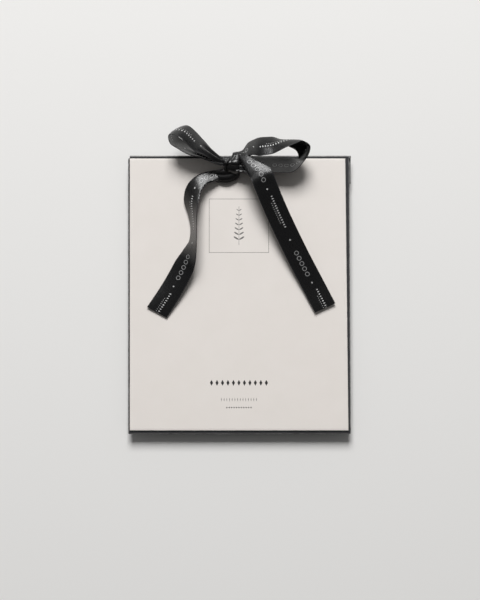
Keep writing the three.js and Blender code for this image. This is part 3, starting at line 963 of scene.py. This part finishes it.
def ribbon_surface(
    stations, steps, pleats=2, ripple=0.05 * MM, seed=0.0, start_length=0.0, section=None, turned=False,
):
    """A bmesh of one stretch of ribbon and its length. The UV map counts in ribbon widths."""
    centres = smooth_path([s[0] for s in stations], steps)
    widths = smooth_path([s[1] for s in stations], steps)
    bows = smooth_path([Vector((s[2], 0, 0)) for s in stations], steps)
    travelled = distances(centres)
    rows = len(centres)
    bm = bmesh.new()
    bm.loops.layers.uv.new("ribbon")
    made = bmesh.ops.create_grid(bm, x_segments=ACROSS, y_segments=rows - 1, size=0.5, calc_uvs=True)
    spots = {}
    for vert in made["verts"]:
        row = round((vert.co.y + 0.5) * (rows - 1))
        spots[vert] = (vert.co.x + 0.5, row)
    folded = folded_section(section) if section else None
    for vert, (u, row) in spots.items():
        before, after = centres[max(row - LOOK_AROUND, 0)], centres[min(row + LOOK_AROUND, rows - 1)]
        tangent = (after - before).normalized()
        across = widths[row]
        normal = tangent.cross(across).normalized()
        s = 2 * u - 1
        chord = 2 * across.length
        share = min(1.0, chord / RIBBON_WIDTH * (1 + BOW_LENGTH * (bows[row].x / chord) ** 2))
        if folded:
            spot = folded[round(u * ACROSS)] * (chord / RIBBON_WIDTH)
            sideways = across.normalized() * spot.x
            height = spot.y + ripple * noise.noise(Vector((u * 4 + seed, travelled[row] * 160, seed)))
        else:
            if turned:
                place, height = turned_under(s, chord, share * RIBBON_WIDTH)
                sideways = across.normalized() * place
                height *= math.copysign(1, normal.z)
                height += bows[row].x * (1 - (2 * place / chord) ** 2)
                fade = 1
            else:
                slope = math.sqrt(max(0.0, 2 * (1 / share ** 2 - 1)))
                depth = slope * chord / (2 * math.pi * pleats)
                phase = 2 * math.pi * pleats * u + 0.6 * noise.noise(Vector((seed, travelled[row] * 60, 0)))
                sideways = across * s
                height = depth * math.sin(phase) * (1 - 0.35 * abs(s))
                height += bows[row].x * (1 - s * s)
                fade = 0.35 + 0.65 * (1 - share)
            height += ripple * fade * noise.noise(Vector((u * 3.1 + seed, travelled[row] * 90, seed)))
        vert.co = centres[row] + sideways + normal * height
    layer = bm.loops.layers.uv["ribbon"]
    for vert, (u, row) in spots.items():
        for loop in vert.link_loops:
            loop[layer].uv = (u, (start_length + travelled[row]) / RIBBON_WIDTH)
    return bm, travelled[-1]


def ribbon_piece(
    name, stations, steps, nodes, body="packet", held="folded", rests_on=(), look=None, **shape,
):
    """A stretch of ribbon as a finished piece."""
    bm, length = ribbon_surface(stations, steps, **shape)
    bmesh.ops.recalc_face_normals(bm, faces=bm.faces)
    bm.normal_update()
    under = {vert: vert.normal * RIBBON_THICKNESS for vert in bm.verts}
    bmesh.ops.extrude_face_region(bm, geom=bm.faces[:], use_keep_orig=True)
    for vert, offset in under.items():
        vert.co -= offset
    piece = finished_piece(name, bm, look or printed_satin, nodes, body)
    print(name, "length", round(length / MM, 1), "mm")
    return piece


print("ribbon:", ACROSS, "faces across,", round(RIBBON_THICKNESS / MM, 2), "mm thick")

# %% [markdown]
# ## Loops
# Each loop leaves the knot gathered, opens to its full width, turns over at its far end and
# comes back under itself. The left loop is pleated where it is gathered, and the right loop has
# its sides turned under. Plain bent bands would show neither. The upper run turns its face up to
# the lamp. The stations repeat the route of the solid that the loop stands for.

# %% Loops
LEFT_LOOP = [
    (0.017, -0.050, 0.36, -133, 54, 0.42),
    (-0.156, -0.010, 0.44, -133, 54, 0.52),
    (-0.320, 0.173, 0.60, -133, 58, 0.8, 0.3),
    (-0.532, 0.448, 0.80, -128, 47, 1, 0.6),
    (-0.682, 0.718, 0.95, -132, 45, 1, 0.6),
    (-0.798, 0.896, 1.03, -123, 47, 1, 0.5),
    (-0.901, 0.927, 1.00, -125, 54, 1, 0.5),
    (-0.987, 0.888, 0.87, -132, 63, 1, 0.5),
    (-0.993, 0.745, 0.76, -147, 65, 1, 0.8),
    (-0.943, 0.606, 0.64, -144, 58, 1, 0.8),
    (-0.827, 0.453, 0.56, -144, 60, 1, 0.5),
    (-0.658, 0.281, 0.53, -133, 61, 0.98, 0.2),
    (-0.464, 0.145, 0.50, -127, 63, 0.85),
    (-0.299, 0.020, 0.47, -112, 62, 0.7),
    (-0.148, -0.076, 0.42, -111, 54, 0.55),
    (0.024, -0.101, 0.30, -112, 46, 0.45),
]
RIGHT_LOOP = [
    (0.073, 0.142, 0.25, -82, 39, 0.45),
    (0.112, 0.218, 0.30, -83, 37, 0.5),
    (0.184, 0.335, 0.36, -84, 48, 0.6),
    (0.270, 0.569, 0.49, -77, 45, 0.92, -0.5),
    (0.402, 0.628, 0.90, -89, 30, 1, -0.8),
    (0.551, 0.676, 1.05, -87, 35, 1, -0.8),
    (0.684, 0.787, 1.05, -60, 57, 1, -1.2),
    (0.782, 0.804, 1.00, -20, 63, 1, -1.8),
    (0.865, 0.750, 0.933, 18, 54, 1, -2.0),
    (0.944, 0.576, 0.833, 14, 54, 1, -1.6),
    (0.961, 0.358, 0.725, 8, 61, 1, -1.3),
    (0.948, 0.119, 0.617, -6, 69, 1, -0.9),
    (0.905, -0.060, 0.53, -50, 68, 1, -0.5),
    (0.799, -0.257, 0.43, -84, 45, 1, -0.3),
    (0.601, -0.257, 0.385, -90, 44, 1, -0.2),
    (0.381, -0.245, 0.355, -91, 40, 0.96),
    (0.190, -0.250, 0.38, -92, 40, 0.82),
    (0.100, -0.240, 0.38, -92, 38, 0.70),
    (0.042, -0.210, 0.35, -92, 38, 0.60),
]
left_loop = ribbon_piece(
    "left_loop_satin", from_table(LEFT_LOOP, 29.4 * MM, 16 * MM, 12 * MM), 10,
    ["bow_left_loop"], body=None, seed=1.7, rests_on=["knot_wrap"], start_length=33.7 * MM,
)
right_loop = ribbon_piece(
    "right_loop_satin", from_table(RIGHT_LOOP, 42 * MM, 10.5 * MM, 12 * MM), 10,
    ["bow_right_loop"], body=None, seed=4.9, rests_on=["knot_wrap"], start_length=38.6 * MM, turned=True,
)

# %% [markdown]
# ## Tails
# The left tail leaves the tucked turn, stands up in a bend that faces the lamp, and twists down
# to the card. The right tail folds over beside the knot and runs straight down. Both have their
# sides turned under where they are gathered, because satin that is pulled tight curls so.

# %% Tails
LEFT_TAIL = [
    (0.0, -0.075, 0.30, -104, 8, 0.45),
    (-0.10, -0.09, 0.38, -104, 12, 0.5),
    (-0.20, -0.10, 0.48, -100, 24, 0.55),
    (-0.31, -0.116, 0.66, -84, 22, 0.58),
    (-0.41, -0.152, 0.82, -71, 23, 0.76),
    (-0.485, -0.205, 0.86, -46, 28, 0.90),
    (-0.515, -0.274, 0.88, -20, 46, 1),
    (-0.495, -0.357, 0.98, -11, 65, 1),
    (-0.478, -0.442, 1.02, -2, 73, 1),
    (-0.486, -0.526, 1.00, -6, 70, 1),
    (-0.53, -0.60, 0.86, -20, 52, 1),
    (-0.615, -0.698, 0.50, -26, 20, 1),
    (-0.78, -0.841, 0.26, -27, 11, 1),
    (-1.00, -1.00, 0.14, -28, 0, 1),
]
RIGHT_TAIL = [
    (0.095, 0.037, 0.42, 35, 0, 0.34),
    (0.150, 0.026, 0.617, 32, 0, 0.36),
    (0.205, -0.0115, 0.80, 28, -1, 0.50, 0.2),
    (0.265, -0.051, 0.957, 27, -1, 0.77, 0.4),
    (0.324, -0.0895, 1.035, 26, -1, 0.98, 0.6),
    (0.348, -0.124, 1.090, 25.5, -1, 1, 0.3),
    (0.392, -0.196, 1.01, 25, -1, 1),
    (0.515, -0.380, 0.72, 26, 0, 1),
    (0.71, -0.640, 0.38, 26, 0, 1),
    (0.88, -0.850, 0.18, 25, 0, 1),
    (1.00, -1.00, 0.13, 24.5, 0, 1),
]
left_tail = ribbon_piece(
    "left_tail_satin", from_table(LEFT_TAIL, 38.4 * MM, 81.4 * MM, 7 * MM), 12,
    ["bow_left_tail"], body=None, seed=8.3, rests_on=["printed_card"], start_length=31 * MM, turned=True,
)
right_tail = ribbon_piece(
    "right_tail_satin", from_table(RIGHT_TAIL, 52 * MM, 79 * MM, 11.5 * MM), 14,
    ["bow_right_tail"], body=None, seed=2.9, rests_on=["printed_card"], start_length=24.5 * MM, turned=True,
)

# %% [markdown]
# ## Thread over the top edge
# Behind the knot the ribbon is gathered to a cord. It passes over the top edge, down the back
# of the folded end and out through the hole again under the knot. A round cord would be simpler
# to make, but the ribbon's edges and pleats show where it crosses the edge.

# %% Thread
THREAD_PLACES = [
    (-1.8, 70.5, 8.8, 0, 0, 0.30),
    (-1.8, 72.4, 8.3, 0, 0, 0.30),
    (-1.8, 74.3, 7.8, 0, 0, 0.31),
    (-1.8, 75.4, 7.2, 0, 0, 0.32),
    (-1.9, 75.75, 6.0, 0, 0, 0.32),
    (-2.1, 75.2, 4.7, 0, 0, 0.33),
    (-2.7, 74.0, 3.9, 0, 0, 0.34),
    (-4.0, 71.5, 3.7, 0, 0, 0.36),
    (-5.3, 68.6, 3.7, 0, 0, 0.36),
    (-5.9, 66.9, 4.2, 0, 0, 0.34),
    (-6.0, 66.5, 5.6, 0, 0, 0.32),
    (-6.0, 66.6, 7.0, 0, 0, 0.32),
    (-6.0, 67.2, 8.2, 0, 0, 0.34),
]
thread = ribbon_piece(
    "thread_satin", from_places(THREAD_PLACES), 8, ["ribbon_thread"],
    held="gathered", seed=6.2, pleats=3, look=plain_satin, rests_on=["bag_folded_end"],
)

# %% [markdown]
# ## Knot
# The knot is ribbon too: a turn wrapped round the middle of the bow, and a tucked turn that
# bellies out below it before it becomes the left tail. Pleats from a formula look too even here.
# So both turns follow a folded section that is drawn point by point, in millimetres across and
# up. Both have the plain satin, without marks.

# %% Knot
WRAP_SECTION = [
    (-2.9, -2.1), (-4.0, -1.2), (-3.9, -0.2), (-3.2, 0.25), (-2.75, -0.1), (-2.35, 0.1), (-1.7, 0.6),
    (-0.9, 0.5), (-0.4, 0.7), (1.2, 0.95), (2.9, 0.85), (3.8, 0.35), (4.0, -0.9), (3.7, -2.3),
]
WRAP_PLACES = [
    (-1.9, 71.5, 8.7, 0, 0, 0.42),
    (-1.8, 74.6, 9.0, 0, 0, 0.42),
    (-1.75, 75.9, 10.4, 0, 0, 0.43),
    (-1.75, 75.7, 12.0, 0, 0, 0.43),
    (-1.85, 74.7, 13.1, 0, 0, 0.45),
    (-2.2, 73.3, 13.8, 3, 0, 0.56),
    (-3.1, 71.8, 14.4, 5, 0, 0.78),
    (-3.8, 70.6, 14.95, 3, 0, 0.95),
    (-4.0, 69.8, 14.9, 0, 0, 1.0),
    (-4.1, 69.2, 13.7, -3, 0, 1.0),
    (-4.1, 68.4, 13.8, -4, 0, 1.0),
    (-4.1, 67.2, 13.4, -4, 0, 1.0),
    (-4.1, 66.1, 12.0, -4, 0, 0.98),
    (-4.1, 65.9, 10.3, -3, 0, 0.94),
    (-4.1, 67.0, 9.0, -2, 0, 0.85),
    (-4.0, 69.5, 8.6, 0, 0, 0.75),
]
wrap = ribbon_piece(
    "knot_wrap", from_places(WRAP_PLACES), 8, ["bow_knot"],
    seed=3.3, section=WRAP_SECTION, look=plain_satin, rests_on=["printed_card"],
)
TUCK_SECTION = [
    (-4.9, -1.6), (-4.3, -0.5), (-3.2, 0.1), (-2.2, 0.1), (-1.7, -0.15), (-1.1, 0.05), (-0.2, 0.55),
    (0.9, 0.75), (2.1, 0.45), (2.7, 0.15), (3.2, 0.2), (4.0, -0.4), (4.5, -1.3), (4.3, -2.1),
]
TUCK_PLACES = [
    (-2.0, 70.0, 9.4, -10, 5, 0.5),
    (-2.0, 67.4, 10.2, -22, -12, 0.62),
    (-2.7, 65.0, 10.6, -52, -22, 0.8),
    (-4.9, 63.6, 10.8, -78, -24, 0.9),
    (-8.0, 63.1, 10.7, -92, -24, 0.9),
    (-11.2, 63.4, 10.2, -104, -24, 0.76),
    (-13.8, 64.1, 9.5, -114, -24, 0.54),
    (-15.6, 65.0, 8.8, -120, -22, 0.36),
]
tuck = ribbon_piece(
    "knot_tuck", from_places(TUCK_PLACES), 9, [],
    seed=5.1, section=TUCK_SECTION, look=plain_satin, rests_on=["printed_card"],
)

# %% [markdown]
# ## Where the bow would bend
# The loops and tails are cloth, so each would bend from the knot instead of turning as a plate.
# Two places are listed for each stretch, where such a bend would start and end, but nothing here
# uses them: each piece only has its transform baked into its points.

# %% Bend places
BENDS = [
    (left_loop, "left_loop", (-7, 72, 11.5), (-15, 76, 14)),
    (right_loop, "right_loop", (-3, 72.5, 11), (6, 74.5, 12.5)),
    (left_tail, "left_tail", (-10, 64.6, 10), (-19.5, 62.5, 12.5)),
    (right_tail, "right_tail", (-0.5, 75, 12.5), (7.5, 68.5, 18)),
]
for piece, body, start, end in BENDS:
    start = [value * MM for value in start]
    end = [value * MM for value in end]
    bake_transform(piece)
print("bending pieces:", [bend[0].name for bend in BENDS])

# %% [markdown]
# ## Floor
# The sachet lies on a plain pale surface that takes its soft shadow and nothing else. A real
# one would be a paper sweep that curves up behind. Here the floor stays flat, and far from the
# sachet it fades to the tone of the sky, for camera rays only, so no horizon shows.

# %% Floor
FLOOR_HALF = 2.5
FLOOR_DROP = 0.05 * MM
FADE_FROM = 0.24
FADE_TO = 0.62
bm = bmesh.new()
bmesh.ops.create_grid(bm, x_segments=2, y_segments=2, size=FLOOR_HALF)
floor_mesh = bpy.data.meshes.new("floor")
bm.to_mesh(floor_mesh)
bm.free()
floor = bpy.data.objects.new("floor", floor_mesh)
floor.location = (0, 0, -FLOOR_DROP)
bpy.context.scene.collection.objects.link(floor)
floor_finish = new_finish("floor")
floor_near = floor_finish.surface(srgb(232, 231, 229), 0.9, shine=0.2)
floor_far = floor_finish.node("ShaderNodeEmission", {}, {"Color": SKY_SEEN, "Strength": 1})
floor_place = floor_finish.node("ShaderNodeTexCoord")["Object"]
from_middle = floor_finish.node("ShaderNodeVectorMath", {"operation": "LENGTH"}, {0: floor_place})["Value"]
fade = floor_finish.between(from_middle, FADE_FROM, FADE_TO, 0, 1)
fade = fade * floor_finish.node("ShaderNodeLightPath")["Is Camera Ray"]
floor_seen = floor_finish.node("ShaderNodeMixShader", {}, {0: fade, 1: floor_near, 2: floor_far})
floor_mesh.materials.append(floor_finish.close(floor_seen))
floor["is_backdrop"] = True
print("floor", 2 * FLOOR_HALF, "m wide, fading from", FADE_FROM, "to", FADE_TO, "m")

# %% [markdown]
# ## Finish
# The colours are shown as they are, without a film look. The size of the solids and that of the
# finished pieces are written down together, so that they can be compared.

# %% Finish
bpy.context.scene.view_settings.view_transform = "Standard"
visual_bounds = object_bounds()
for label, (low, high) in (("cad", cad_bounds), ("visual", visual_bounds)):
    print(label, [round(x / MM, 2) for x in low], [round(x / MM, 2) for x in high])
